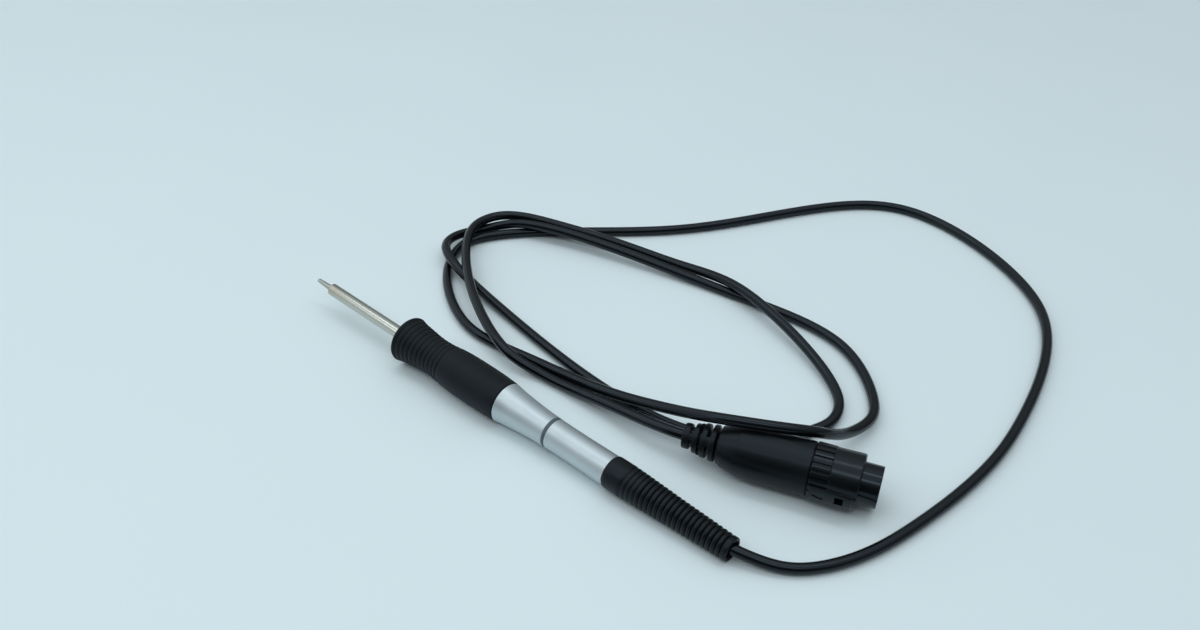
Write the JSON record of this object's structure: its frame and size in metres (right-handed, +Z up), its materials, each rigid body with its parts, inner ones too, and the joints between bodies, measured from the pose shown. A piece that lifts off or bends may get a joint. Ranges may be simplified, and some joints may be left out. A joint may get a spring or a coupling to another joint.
{
  "type": "wood burning pen",
  "caption": "Slim electric wood burning pen with a slanted tip, ribbed rubber grip, waisted metal sleeve, and a lead to a round bayonet plug.",
  "frame": {"origin": "on the surface that the pen lies on, below the middle of the pen's box without its lead and plug", "axes": "+X along the pen from the tip towards the lead, +Y to the side where the lead and plug lie, +Z up"},
  "size_m": [0.2815, 0.2553, 0.0269],
  "materials": {
    "nickel": "plated, slightly heat stained",
    "stainless": "drawn tube",
    "blackened": "chemically blackened",
    "ceramic": "fired ceramic",
    "copper": "wire",
    "brass": "turned",
    "grip_rubber": "matte soft rubber",
    "relief_rubber": "satin moulded rubber",
    "black_plastic": "satin moulding",
    "gloss_black": "glossy moulding",
    "insert_ivory": "moulded insulator",
    "aluminium": "satin anodised",
    "band_grey": "satin",
    "board_green": "fibreglass board",
    "lead_black": "satin cable jacket"
  },
  "bodies": {
    "pen": {"rubber_grip": "grip_rubber", "guide_bush": "black_plastic", "inner_holder": "black_plastic", "contact_spring": "brass", "aluminium_sleeve": "aluminium", "sleeve_band": "band_grey", "terminal_board": "board_green", "cord_clamp": "stainless", "lead_jacket": "lead_black", "strain_relief": "relief_rubber", "lead_wire_1": "copper", "lead_wire_2": "copper", "lead_wire_3": "copper", "lead_wire_4": "copper", "cord": "lead_black", "plug_shroud": "gloss_black", "contact_insert": "insert_ivory", "ring_retainer": "blackened", "plug_body": "black_plastic", "plug_lead_jacket": "lead_black", "plug_cord_clamp": "stainless", "plug_boot": "relief_rubber", "contact_pin_1": "brass", "contact_pin_2": "brass", "contact_pin_3": "brass", "contact_pin_4": "brass", "contact_pin_5": "brass"},
    "cartridge": {"burning_tip": "nickel", "barrel_tube": "stainless", "temperature_sensor": "ceramic", "heater_core": "ceramic", "heater_winding": "copper", "cartridge_insulator": "ceramic", "cartridge_contact": "brass"},
    "locking_ring": {"locking_ring": "black_plastic"}
  },
  "joints": [
    {"name": "cartridge_slide", "type": "slide", "parent": "pen", "child": "cartridge", "axis": [-0.9995, 0, 0.0316], "range_m": [0, 0.075]},
    {"name": "locking_ring_turn", "type": "hinge", "parent": "pen", "child": "locking_ring", "pos_m": [0.1414, 0.0542, 0.01087], "axis": [0.9447, 0.3281, 0], "range_deg": [0, 45]}
  ]
}
